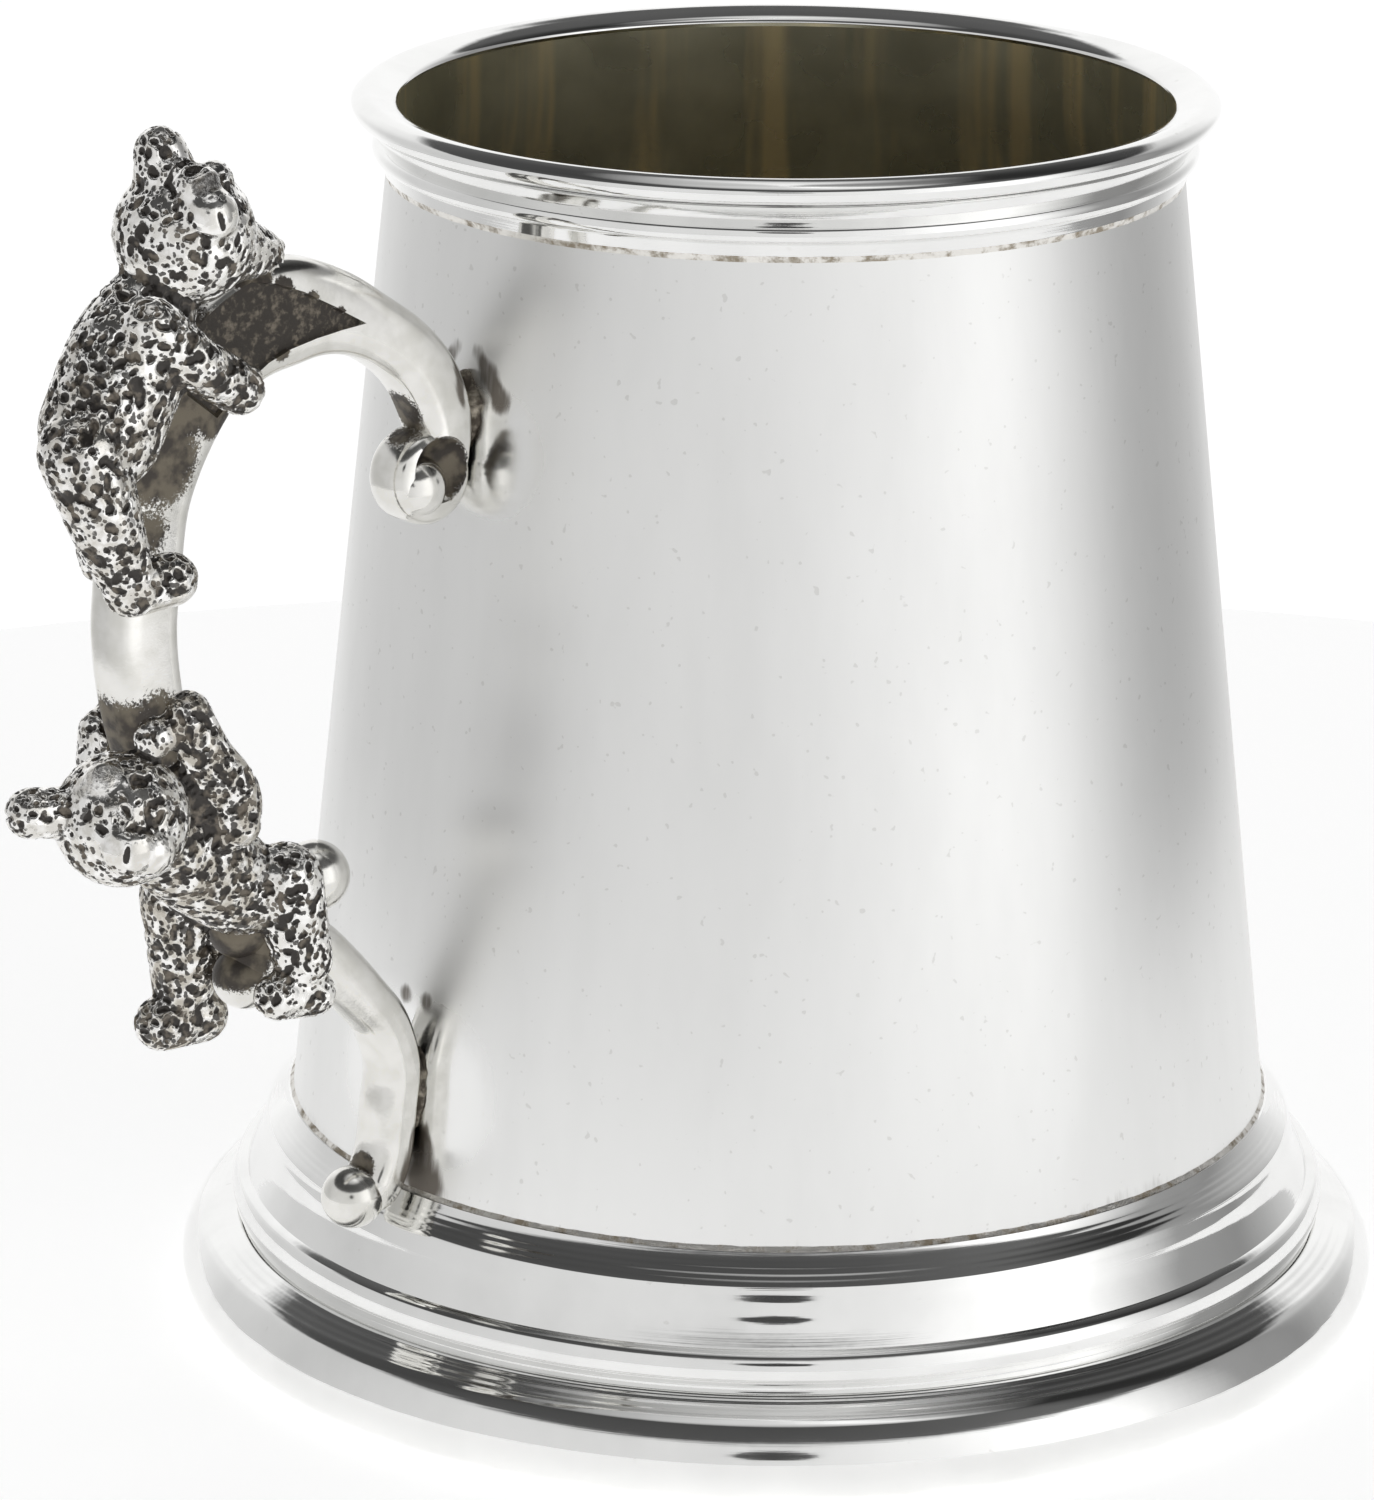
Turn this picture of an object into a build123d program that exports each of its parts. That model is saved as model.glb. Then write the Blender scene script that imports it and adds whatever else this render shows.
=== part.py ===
"""Half-pint pewter tankard: a straight tapering drum with a moulded rim and a stepped hollow foot,
and a cast double-scroll handle with one bear climbing it and one bear hanging from it.

The origin is the centre of the circle that the foot rests on, +Z is up, the handle is on the -X side.
A place on the handle is given as (out, up): out is measured from the drum's wall, up is the height.
"""

import os

from build123d import *

os.makedirs("parts", exist_ok=True)

# ---- Driving dimensions, in mm ---------------------------------------------------------------------

# Foot: a hollow flange that rests on the table, and a stepped mount that stands on it
flange_radius = 47.35
flange_height = 8.3
flange_wall = 1.4
rest_width = 1.8
groove_height = 0.5
groove_depth = 0.8
tongue_height = 1.5
tongue_wall = 1.1
tongue_clearance = 0.1
tongue_solder = 0.8
bore_spare = 0.43
mount_height = 9.1
mount_flare = 4.9
mount_wall = 1.2
mount_bead_width = 2.45
seat_width = 3.2

# Drum and its bottom
drum_base_radius = 38.4
drum_neck_radius = 30.45
drum_height = 78.5
neck_height = 4.7
drum_wall = 0.7
disc_thickness = 1.2

# Rim mount
rim_radius = 33.1
rim_rise = 1.2
rim_bead = 0.9
lip_overhang = 0.2

# Solder
fillet_leg = 0.55
solder_gap = 0.15

# Handle: distances from the drum's wall, heights from the two joints
upper_joint_drop = 19.7
lower_joint_rise = 7.6
handle_half_width = 2.3
grip_reach = 29.4
grip_thickness = 3.0
limb_thickness = 2.4
tail_thickness = 1.8
curl_radius = 3.6
curl_half_width = 2.2
knuckle_radius = 2.7
tail_ball_radius = 2.4
tail_drop = 7.424

# Bears
head_radius = 5.2
muzzle_radius = 2.1
ear_radius = 1.95
bear_girth = 4.5
arm_radius = 2.0
leg_radius = 2.3
foot_radius = 2.0
straddle = 3.6

# ---- Levels and radii that follow from them --------------------------------------------------------

seat_z = flange_height + mount_height
top_z = seat_z + drum_height
neck_z = top_z - neck_height
joint_high_z = top_z - upper_joint_drop
joint_low_z = seat_z + lower_joint_rise
bead_radius = drum_base_radius + mount_flare
mount_bore = bead_radius - mount_bead_width
tongue_radius = mount_bore - tongue_clearance


def wall_radius(z):
    """Outer radius of the drum's cone at a height."""
    share = (z - seat_z) / (neck_z - seat_z)
    return drum_base_radius + (drum_neck_radius - drum_base_radius) * share


def joint_height(share):
    """Height at a share of the way from the lower handle joint (0) to the upper one (1).

    The tail hangs below the lower joint: from 0 down to -1 is its own drop, whatever the drum's height.
    """
    reach = joint_high_z - joint_low_z if share > 0 else tail_drop
    return joint_low_z + reach * share


# ---- Small helpers ---------------------------------------------------------------------------------


def turned(*edges):
    """Solid of revolution about the Z axis from the edges of a section in the XZ half-plane."""
    outline = [Plane.XZ * edge for edge in edges]
    return revolve(make_face(outline), Axis.Z)


def ring(points):
    """Turned ring whose section is a plain polygon of (radius, height) points."""
    return turned(Polyline(*points, close=True))


def place(out, up, side=0.0):
    """Point beside the drum on the handle's side; side is measured across the handle."""
    return Vector(-(wall_radius(up) + out), -side, up)


def ball(centre, radius):
    """Ball with its poles turned away from the limbs that run into it."""
    return Pos(centre) * Rot(25, 35, 0) * Sphere(radius)


def round_section(centre, along, radius):
    return (Plane(origin=centre, z_dir=along) * Circle(radius)).wire()


def limb(places, radii):
    """Soft limb: a loft through round sections along its places, with a rounded end at each side."""
    cap = [(0.94, 0.34), (0.75, 0.66), (0.4, 0.92)]
    start = (places[1] - places[0]).normalized()
    end = (places[-1] - places[-2]).normalized()
    sections = [round_section(places[0] - start * radii[0] * reach, start, radii[0] * share)
                for reach, share in cap]
    for i, (centre, radius) in enumerate(zip(places, radii)):
        along = places[min(i + 1, len(places) - 1)] - places[max(i - 1, 0)]
        sections.append(round_section(centre, along, radius))
    sections += [round_section(places[-1] + end * radii[-1] * reach, end, radii[-1] * share)
                 for reach, share in reversed(cap)]
    return Solid.make_loft(sections)


def largest(shape):
    """The biggest solid of a cut, without the slivers."""
    return max(shape.solids(), key=lambda solid: solid.volume)


# ---- Drum ------------------------------------------------------------------------------------------

lip_radius = drum_neck_radius - drum_wall - lip_overhang


def drum_section(inset):
    """Outer line of the drum, moved in by a distance."""
    return [
        (drum_base_radius - inset, seat_z),
        (drum_neck_radius - inset, neck_z),
        (drum_neck_radius - inset, top_z),
    ]


def make_drum():
    return ring(drum_section(0) + drum_section(drum_wall)[::-1])


def drum_block():
    """The drum as if it were solid, to trim what is soldered to it."""
    return ring([(0, seat_z)] + drum_section(0) + [(0, top_z)])


def make_bottom_disc():
    """Flat floor of the cup, a close fit inside the drum's lower edge."""
    slope = wall_radius(seat_z) - wall_radius(seat_z + disc_thickness)
    inner = drum_base_radius - drum_wall
    return ring([(0, seat_z), (inner, seat_z), (inner - slope, seat_z + disc_thickness),
                 (0, seat_z + disc_thickness)])


# ---- Rim -------------------------------------------------------------------------------------------


def make_rim_mount():
    """Rolled rim with a bead under it, sleeved over the drum's neck and lipped over its edge."""
    roll_z = top_z + 0.45
    bead_z = neck_z + 1.7
    bead_out = drum_neck_radius + rim_bead
    crown = Spline((lip_radius + 0.4, top_z + 0.7), (rim_radius - 1.0, top_z + rim_rise),
                   (rim_radius, roll_z), (rim_radius - 0.3, roll_z - 0.75),
                   (rim_radius - 1.1, roll_z - 1.35), (bead_out - 0.35, bead_z + 0.75))
    bead = ThreePointArc((bead_out - 0.35, bead_z + 0.75), (bead_out + 0.2, bead_z),
                         (bead_out - 0.5, bead_z - 0.85))
    skirt = Polyline((bead_out - 0.5, bead_z - 0.85), (drum_neck_radius + 0.25, neck_z),
                     (drum_neck_radius, neck_z), (drum_neck_radius, top_z), (lip_radius + 0.2, top_z),
                     (lip_radius, top_z + 0.3), (lip_radius + 0.4, top_z + 0.7))
    return turned(crown, bead, skirt)


def make_rim_solder():
    low = neck_z - fillet_leg
    return ring([(drum_neck_radius, neck_z), (drum_neck_radius + 0.25, neck_z), (wall_radius(low), low)])


# ---- Foot ------------------------------------------------------------------------------------------


def mount_point(flare_share, height_share):
    """Point of the stepped mount's outer moulding."""
    return (drum_base_radius + mount_flare * flare_share, flange_height + mount_height * height_share)


def make_foot_mount():
    """Stepped mount: a cove below the drum, a shoulder, a flared band and a bead at the bottom."""
    cove = Spline(mount_point(0.08, 1.0), mount_point(0.26, 0.86), mount_point(0.43, 0.74))
    band = Spline(mount_point(0.43, 0.74), mount_point(0.49, 0.64), mount_point(0.56, 0.5),
                  mount_point(0.755, 0.291))
    step = Line(mount_point(0.755, 0.291), mount_point(0.895, 0.270))
    bead = Spline(mount_point(0.895, 0.270), mount_point(0.98, 0.187), mount_point(1.0, 0.1),
                  mount_point(0.96, 0.0))
    inside = Polyline(mount_point(0.96, 0.0), (mount_bore, flange_height),
                      (mount_bore, flange_height + tongue_height + tongue_solder + bore_spare),
                      (drum_base_radius - 0.1, seat_z - mount_wall),
                      (drum_base_radius - seat_width, seat_z - mount_wall),
                      (drum_base_radius - seat_width, seat_z), mount_point(0.08, 1.0))
    return turned(cove, band, step, bead, inside)


def make_foot_flange():
    """Rounded hollow ring that the tankard rests on, with a ledge and a tongue for the mount."""
    ledge = bead_radius - groove_depth + 0.3
    deck_z = flange_height - groove_height
    rest_out = flange_radius - 2.1
    belly = Spline((bead_radius, deck_z), (flange_radius - 1.2, deck_z - 1.5),
                   (flange_radius, deck_z * 0.48), (flange_radius - 0.6, deck_z * 0.17),
                   (rest_out, 0))
    inside = Polyline((rest_out, 0), (rest_out - rest_width, 0),
                      (rest_out - rest_width - 0.4, deck_z - flange_wall - 0.4),
                      (tongue_radius - tongue_wall, deck_z - flange_wall),
                      (tongue_radius - tongue_wall, flange_height + tongue_height),
                      (tongue_radius, flange_height + tongue_height),
                      (tongue_radius, flange_height),
                      (ledge, flange_height), (ledge, deck_z), (bead_radius, deck_z))
    return turned(belly, inside)


def make_foot_solder():
    """Visible line of solder where the drum stands in the foot."""
    edge = drum_base_radius + mount_flare * 0.08
    high = seat_z + fillet_leg
    return ring([(drum_base_radius, seat_z), (edge, seat_z), (wall_radius(high), high)])


def make_bottom_solder():
    """Hidden line of solder under the floor, in the corner of the seat."""
    inner = drum_base_radius - seat_width
    return ring([(inner, seat_z), (inner - 0.8, seat_z), (inner, seat_z - 0.9)])


def make_flange_solder():
    """Hidden line of solder on top of the flange's tongue, against the inside of the mount."""
    low = flange_height + tongue_height
    return ring([(mount_bore, low), (tongue_radius - tongue_wall + 0.3, low), (mount_bore, low + tongue_solder)])


# ---- Handle ----------------------------------------------------------------------------------------

# Stations along the middle line of each scroll: (out from the wall, share of the way, half thickness)
snug = solder_gap
upper_scroll = [
    (limb_thickness * 0.62 + snug, 0.93, 1.4),
    (limb_thickness * 0.85 + snug, 0.972, 2.0),
    (limb_thickness + snug, 1.02, limb_thickness),
    (4.3, 1.083, 2.5),
    (6.8, 1.133, 2.5),
    (10.2, 1.176, 2.6),
    (13.7, 1.206, 3.2),
    (17.4, 1.218, 4.0),
    (21.4, 1.208, 4.2),
    (25.0, 1.166, 4.0),
    (27.7, 1.089, 3.8),
    (grip_reach - 0.1, 0.99, grip_thickness + 0.4),
    (grip_reach, 0.881, grip_thickness + 0.1),
    (grip_reach - 0.1, 0.792, grip_thickness),
    (grip_reach - 1.2, 0.693, grip_thickness - 0.1),
    (26.5, 0.604, 2.7),
    (23.9, 0.515, 2.5),
    (20.5, 0.434, 2.4),
    (16.4, 0.37, 2.3),
    (12.9, 0.345, 1.8),
]
lower_scroll = [
    (15.9, 0.27, 1.3),
    (14.6, 0.3, 2.0),
    (11.6, 0.275, 2.2),
    (8.8, 0.228, 2.2),
    (5.7, 0.17, 2.0),
    (3.4, 0.119, 1.9),
    (tail_thickness + snug, 0.05, tail_thickness),
    (tail_thickness + snug, -0.138, tail_thickness),
    (tail_thickness + snug + 0.1, -0.572, tail_thickness),
    (tail_thickness + snug + 0.9, -0.876, tail_thickness),
    (tail_thickness + snug + 2.0, -1.0, tail_thickness - 0.3),
]


def scroll(stations):
    """Smooth tapering scroll through oval sections set square to its middle line."""
    middles = [place(out, joint_height(share)) for out, share, _ in stations]
    rims = []
    for i, (middle, (_, _, half)) in enumerate(zip(middles, stations)):
        along = middles[min(i + 1, len(middles) - 1)] - middles[max(i - 1, 0)]
        across = min(handle_half_width, 1.3 * half)
        plane = Plane(origin=middle, x_dir=Vector(0, 1, 0), z_dir=along)
        rims.append((plane * Ellipse(across, half)).wire())
    return Solid.make_loft(rims)


curl_place = place(curl_radius + solder_gap, joint_height(0.937))
knuckle_place = place(10.9, joint_height(0.371))
toe_place = place(16.8, joint_height(0.245))
heel_place = place(17.6, joint_height(0.325))
web_place = place(15.6, joint_height(0.30))
tail_place = place(4.75, joint_height(-0.979))


def make_handle():
    """Both scrolls, the coin that the upper one curls into, and the balls where the two meet."""
    curl = Pos(curl_place) * Rot(90, 0, 0) * Cylinder(curl_radius, 2 * curl_half_width)
    balls = (
        ball(knuckle_place, knuckle_radius)
        + ball(web_place, knuckle_radius)
        + ball(heel_place, knuckle_radius - 0.2)
        + ball(toe_place, tail_ball_radius)
        + ball(tail_place, tail_ball_radius)
    )
    return scroll(upper_scroll) + scroll(lower_scroll) + curl + balls


def pad(share, length, width, depth):
    """Pool of solder against the drum's wall, longer than it is wide."""
    centre = place(0, joint_height(share))
    return Pos(centre) * scale(Sphere(1), by=(depth, width, length))


# ---- Bears -----------------------------------------------------------------------------------------


def around(anchor, out, up, side):
    """Point of a bear, measured from its anchor on the handle's middle line."""
    return anchor + Vector(-out, -side, up)


def make_climbing_bear():
    """Bear on the shoulder of the scroll, its head turned to the near side, a limb on every cheek."""
    anchor = place(25.0, joint_height(1.166))

    def at(out, up, side):
        return around(anchor, out, up, side)

    # Head: skull, muzzle on the near side, brow, ear on top, and the cheek that lies on the bar
    bear = ball(at(2.0, 9.9, 1.0), head_radius)
    bear += ball(at(2.7, 12.1, 4.9), muzzle_radius)
    bear += ball(at(3.0, 14.0, 3.9), muzzle_radius - 0.4)
    bear += limb([at(3.1, 13.6, 0.6), at(3.5, 15.9, 0.4)], [ear_radius + 0.5, ear_radius])
    bear += limb([at(-0.2, 8.8, 0.4), at(-5.3, 7.0, -0.3)], [3.4, ear_radius + 0.2])
    bear += ball(at(-6.9, 7.2, -0.5), 1.1)

    # Body, from the neck to the rump
    bear += limb([at(4.9, 4.6, 0.5), at(6.7, 1.6, 0.5), at(9.6, -3.2, 0.9)],
                 [bear_girth - 1.0, bear_girth, bear_girth])

    # Near arm, far arm
    bear += limb([at(6.9, 4.3, straddle - 0.1), at(3.4, 1.3, straddle + 0.7),
                  at(-0.6, -1.3, straddle + 0.1)],
                 [arm_radius + 0.2, arm_radius + 0.05, arm_radius - 0.05])
    bear += limb([at(3.6, 4.2, 0.6 - straddle), at(1.4, 1.3, -straddle - 0.4),
                  at(-1.4, -1.3, -straddle)],
                 [arm_radius + 0.2, arm_radius, arm_radius - 0.1])

    # Near leg and foot, far leg and foot
    bear += limb([at(12.2, -4.2, straddle - 1.3), at(11.2, -9.0, straddle - 0.2),
                  at(9.6, -13.2, straddle - 0.2)],
                 [leg_radius + 1.0, leg_radius + 0.45, leg_radius - 0.15])
    bear += limb([at(9.0, -14.4, straddle - 0.3), at(5.8, -14.2, straddle + 0.2)],
                 [foot_radius + 0.15, foot_radius])
    bear += limb([at(9.0, -4.2, 1.3 - straddle), at(6.9, -9.0, 0.4 - straddle),
                  at(6.6, -13.2, 0.2 - straddle)],
                 [leg_radius + 0.8, leg_radius, leg_radius - 0.4])
    bear += limb([at(6.4, -14.0, 0.3 - straddle), at(3.6, -13.2, -straddle - 0.3)],
                 [foot_radius, foot_radius - 0.2])
    return bear


def make_hanging_bear():
    """Bear under the grip, arms reaching up round it, legs astride the meeting of the two scrolls."""
    anchor = place(26.5, joint_height(0.604))

    def at(out, up, side):
        return around(anchor, out, up, side)

    # Head: skull, muzzle on the near side, brow, outer ear, inner ear, and the far paw behind it
    bear = ball(at(4.6, -3.1, 1.9), head_radius - 0.2)
    bear += ball(at(6.4, -3.9, 5.2), muzzle_radius + 0.2)
    bear += ball(at(6.6, 0.2, 2.9), muzzle_radius - 0.4)
    bear += limb([at(8.4, -2.2, 0.4), at(11.0, -1.9, -0.3)], [ear_radius, ear_radius - 0.05])
    bear += ball(at(2.0, 2.7, 2.6), ear_radius - 0.35)
    bear += limb([at(2.4, -0.4, -3.2), at(2.1, 1.6, -3.5)], [arm_radius, arm_radius - 0.1])

    # Body, and the shoulder under the neck
    bear += limb([at(2.0, -4.6, 1.3), at(-2.6, -7.7, 0.7), at(-6.6, -10.9, 0.9)],
                 [bear_girth - 1.1, bear_girth - 0.4, bear_girth - 0.8])
    bear += limb([at(-0.6, -2.2, 1.6), at(-3.0, -4.6, 1.6)], [bear_girth - 1.9, bear_girth - 1.5])

    # Near arm, far arm
    bear += limb([at(-0.3, 4.2, straddle - 0.1), at(-1.6, 0.9, straddle + 0.2),
                  at(-3.7, -2.3, straddle + 0.3), at(-3.9, -4.7, straddle + 0.6)],
                 [arm_radius - 0.25, arm_radius, arm_radius + 0.2, arm_radius - 0.1])
    bear += limb([at(0.6, 2.6, 0.2 - straddle), at(-1.6, -0.6, 0.2 - straddle),
                  at(-3.8, -4.2, 0.4 - straddle)],
                 [arm_radius - 0.1, arm_radius, arm_radius + 0.2])

    # Far leg and foot, near leg and foot
    bear += limb([at(-4.2, -12.1, 0.6 - straddle), at(-4.8, -19.3, -straddle)],
                 [leg_radius + 0.8, leg_radius + 0.1])
    bear += limb([at(-6.2, -21.9, -straddle), at(-2.8, -21.9, -straddle - 0.1)],
                 [foot_radius + 0.2, foot_radius + 0.1])
    bear += limb([at(-9.0, -10.3, straddle - 0.2), at(-10.1, -16.4, straddle + 0.3)],
                 [leg_radius + 0.6, leg_radius])
    bear += limb([at(-7.7, -18.9, straddle + 0.3), at(-10.9, -19.3, straddle + 0.4)],
                 [foot_radius - 0.2, foot_radius - 0.2])
    return bear


# ---- Build and write -------------------------------------------------------------------------------

handle = make_handle()
block = drum_block()

pieces = {
    "drum": make_drum(),
    "bottom_disc": make_bottom_disc(),
    "rim_mount": make_rim_mount(),
    "rim_solder": make_rim_solder(),
    "foot_mount": make_foot_mount(),
    "foot_flange": make_foot_flange(),
    "foot_solder": make_foot_solder(),
    "bottom_solder": make_bottom_solder(),
    "flange_solder": make_flange_solder(),
    "handle": handle,
    "upper_handle_solder": largest(pad(1.02, 4.6, 3.2, 1.5) - block - handle),
    "lower_handle_solder": largest(pad(0.0, 5.6, 2.8, 1.3) - block - handle),
    "climbing_bear": largest(make_climbing_bear() - handle),
    "hanging_bear": largest(make_hanging_bear() - handle),
}

for name, piece in pieces.items():
    export_step(piece, f"parts/{name}.step")
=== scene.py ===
# %% [markdown]
# # A half-pint pewter tankard with two bears on its handle
# A tankard is a turned drum with a rim, a stepped hollow foot and a cast handle. The drum, rim and
# foot are round, so each is a section line turned about the upright axis. The handle is a bar that
# follows a scroll, and the bears are lumps of soft clay that melt into one skin and are then pitted.
# Everything is in metres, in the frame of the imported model; the sizes below are written in millimetres.

# %% Load the frame
import math
from itertools import product

import bmesh
import bpy
import numpy as np
from mathutils import Matrix, Vector, noise


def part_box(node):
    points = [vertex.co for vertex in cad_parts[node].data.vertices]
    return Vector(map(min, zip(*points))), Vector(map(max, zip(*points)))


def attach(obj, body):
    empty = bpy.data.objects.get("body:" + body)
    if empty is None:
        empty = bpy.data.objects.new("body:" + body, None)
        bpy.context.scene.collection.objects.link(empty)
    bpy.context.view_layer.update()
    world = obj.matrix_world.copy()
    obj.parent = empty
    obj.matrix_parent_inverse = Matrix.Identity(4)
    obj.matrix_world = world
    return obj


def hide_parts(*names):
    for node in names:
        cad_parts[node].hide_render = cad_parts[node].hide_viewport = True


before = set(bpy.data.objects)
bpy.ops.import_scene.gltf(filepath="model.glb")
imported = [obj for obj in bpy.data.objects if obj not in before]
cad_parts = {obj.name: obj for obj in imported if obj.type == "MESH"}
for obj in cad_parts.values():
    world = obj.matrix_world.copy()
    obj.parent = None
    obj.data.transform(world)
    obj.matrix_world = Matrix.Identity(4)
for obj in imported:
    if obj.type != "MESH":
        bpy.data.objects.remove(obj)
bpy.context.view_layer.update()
MM = 0.001

# %% [markdown]
# ## Where things are
# The drum's cone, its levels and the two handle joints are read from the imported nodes, so a new
# size of the tankard moves the shapes here as well.

# %% Levels and radii, in mm


def node_box(name):
    low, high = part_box(name)
    return low / MM, high / MM


drum_low, drum_high = node_box("drum")
rim_low, rim_high = node_box("rim_mount")
mount_low, mount_high = node_box("foot_mount")
flange_low, flange_high = node_box("foot_flange")
SEAT = drum_low.z
TOP = drum_high.z
BASE_RADIUS = drum_high.y
NECK_RADIUS = 30.45
NECK = TOP - 4.7
WALL = 0.7
BEAD_RADIUS = mount_high.y
FLANGE_RADIUS = flange_high.y
RIM_RADIUS = rim_high.y
JOINT_HIGH = TOP - 19.7
JOINT_LOW = SEAT + 7.6
print("drum from", round(SEAT, 2), "to", round(TOP, 2), "radius", round(BASE_RADIUS, 2))


def wall_radius(up):
    """Outer radius of the drum's cone at a height."""
    return BASE_RADIUS + (NECK_RADIUS - BASE_RADIUS) * (up - SEAT) / (NECK - SEAT)


def joint_height(share):
    return JOINT_LOW + (JOINT_HIGH - JOINT_LOW) * share


def beside(out, share):
    """Point in the handle's plane: out is from the drum's wall, share is the way up the joints."""
    up = joint_height(share)
    return Vector((-(wall_radius(up) + out), 0.0, up))


# %% [markdown]
# ## A small language for finishes
# A finish is a net of nodes. Its sums are easier to read as sums, so a socket is wrapped in a class
# that knows plus, minus, times and power, and each of those adds one Math node.

# %% Sockets that can be added and multiplied


class Wire:
    """One number on its way through a finish."""

    def __init__(self, tree, socket):
        self.tree = tree
        self.socket = socket

    def join(self, operation, left, right):
        node = self.tree.nodes.new("ShaderNodeMath")
        node.operation = operation
        for slot, value in zip(node.inputs, (left, right)):
            if isinstance(value, Wire):
                self.tree.links.new(value.socket, slot)
            else:
                slot.default_value = value
        return Wire(self.tree, node.outputs[0])

    def __add__(self, other):
        return self.join("ADD", self, other)

    def __radd__(self, other):
        return self.join("ADD", other, self)

    def __sub__(self, other):
        return self.join("SUBTRACT", self, other)

    def __rsub__(self, other):
        return self.join("SUBTRACT", other, self)

    def __mul__(self, other):
        return self.join("MULTIPLY", self, other)

    def __rmul__(self, other):
        return self.join("MULTIPLY", other, self)

    def __truediv__(self, other):
        return self.join("DIVIDE", self, other)

    def __pow__(self, other):
        return self.join("POWER", self, other)

    def larger(self, other):
        return self.join("MAXIMUM", self, other)

    def smaller(self, other):
        return self.join("MINIMUM", self, other)

    def size(self):
        return self.join("ABSOLUTE", self, 0.0)

    def step(self, low, high):
        """0 below low, 1 above high, and a soft ramp between them."""
        node = self.tree.nodes.new("ShaderNodeMapRange")
        node.interpolation_type = "SMOOTHSTEP"
        self.tree.links.new(self.socket, node.inputs["Value"])
        node.inputs["From Min"].default_value = min(low, high)
        node.inputs["From Max"].default_value = max(low, high)
        node.inputs["To Min"].default_value = 0.0 if low < high else 1.0
        node.inputs["To Max"].default_value = 1.0 if low < high else 0.0
        return Wire(self.tree, node.outputs["Result"])


class Finish:
    """A metal finish, built round one Principled shader."""

    def __init__(self, name, **fixed):
        self.material = bpy.data.materials.new(name)
        self.material.use_nodes = True
        self.tree = self.material.node_tree
        self.tree.nodes.clear()
        self.output = self.tree.nodes.new("ShaderNodeOutputMaterial")
        self.shader = self.tree.nodes.new("ShaderNodeBsdfPrincipled")
        self.tree.links.new(self.shader.outputs[0], self.output.inputs["Surface"])
        for socket, value in fixed.items():
            self.shader.inputs[socket.replace("_", " ")].default_value = value
        where = self.tree.nodes.new("ShaderNodeTexCoord")
        self.here = where.outputs["Object"]
        apart = self.node("ShaderNodeSeparateXYZ", Vector=self.here)
        self.x, self.y, self.z = (Wire(self.tree, socket) for socket in apart.outputs)

    def node(self, kind, settings=None, **inputs):
        """Any node: its type, then its settings, then the values or links of its sockets."""
        made = self.tree.nodes.new(kind)
        for setting, value in (settings or {}).items():
            setattr(made, setting, value)
        for name, value in inputs.items():
            key = name.replace("_", " ")
            slot = made.inputs[int(key[1:]) if key[1:].isdigit() else key]
            if isinstance(value, Wire):
                self.tree.links.new(value.socket, slot)
            elif isinstance(value, bpy.types.NodeSocket):
                self.tree.links.new(value, slot)
            else:
                slot.default_value = value
        return made

    def wire(self, made, output=0):
        return Wire(self.tree, made.outputs[output])

    def stretched(self, along, turn=(0, 0, 0)):
        """Object coordinates scaled by a different number along each axis."""
        return self.node("ShaderNodeMapping", Vector=self.here, Scale=along,
                         Rotation=turn).outputs[0]

    def noise(self, scale, detail=2.0, at=None, rough=0.5):
        made = self.node("ShaderNodeTexNoise", Vector=at or self.here, Scale=scale, Detail=detail,
                         Roughness=rough)
        return self.wire(made)

    def attribute(self, name):
        made = self.node("ShaderNodeAttribute", {"attribute_name": name})
        return self.wire(made, "Fac")

    def near(self, centre, radius, soft, at=None):
        """1 within a radius (mm) of a place (mm), falling to 0 over the soft distance."""
        made = self.node("ShaderNodeVectorMath", {"operation": "DISTANCE"}, Vector=at or self.here,
                         i1=Vector(centre) * MM)
        return self.wire(made, "Value").step((radius + soft) * MM, radius * MM)

    def mix(self, share, first, second):
        """Colour between two colours."""
        made = self.node("ShaderNodeMix", {"data_type": "RGBA"}, Factor=share)
        for slot, value in ((made.inputs[6], first), (made.inputs[7], second)):
            if isinstance(value, bpy.types.NodeSocket):
                self.tree.links.new(value, slot)
            else:
                slot.default_value = (*value, 1.0)
        return made.outputs[2]

    def feed(self, name, value):
        socket = value.socket if isinstance(value, Wire) else value
        self.tree.links.new(socket, self.shader.inputs[name])

    def bump(self, height, distance, strength=1.0):
        """Relief: a height from 0 to 1 that stands for a distance in mm."""
        made = self.node("ShaderNodeBump", Height=height, Distance=distance * MM, Strength=strength)
        self.feed("Normal", made.outputs[0])


print("wire and finish classes ready")

# %% [markdown]
# ## Satin pewter for the drum
# The drum is brushed up and down and then wiped, so its shine is broad along the round and finer up
# and down. The brush lines are a noise that is squeezed round the drum and stretched along its
# height. A slow wave in the wall, left by the hammer and the mandrel, keeps the reflections alive.

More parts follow.
